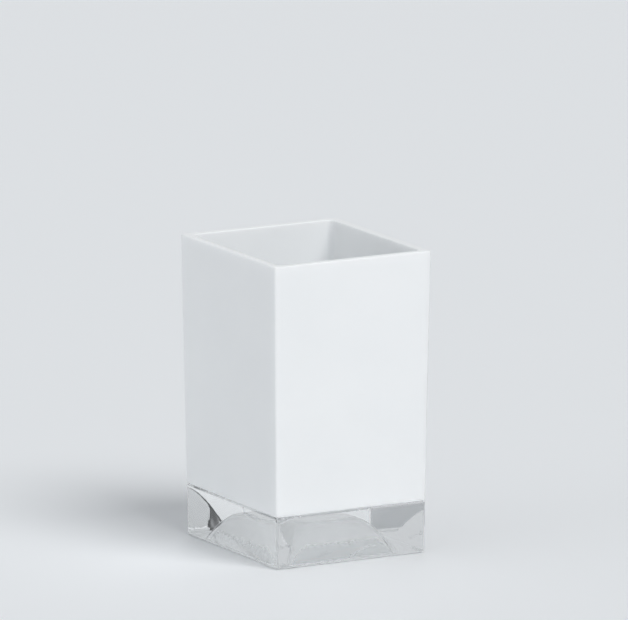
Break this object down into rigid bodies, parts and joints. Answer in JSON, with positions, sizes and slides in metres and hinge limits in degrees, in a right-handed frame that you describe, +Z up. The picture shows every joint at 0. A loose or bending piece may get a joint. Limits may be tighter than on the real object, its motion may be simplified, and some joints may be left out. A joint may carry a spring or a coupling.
{
  "type": "toothbrush holder",
  "caption": "Open-topped rectangular toothbrush holder: a slightly tapered white cup with crisp edges, bonded flush onto a clear block that is hollow underneath.",
  "frame": {"origin": "middle of the foot, on the surface that the holder stands on", "axes": "+Z up, +X along the narrower width, +Y along the depth"},
  "size_m": [0.075, 0.0834, 0.13],
  "materials": {
    "white_plastic": "moulded white plastic, satin gloss",
    "clear_plastic": "polished clear acrylic",
    "adhesive": "cured white adhesive"
  },
  "bodies": {
    "root": {"white_cup": "white_plastic", "clear_base": "clear_plastic", "adhesive_film": "adhesive"}
  },
  "joints": []
}
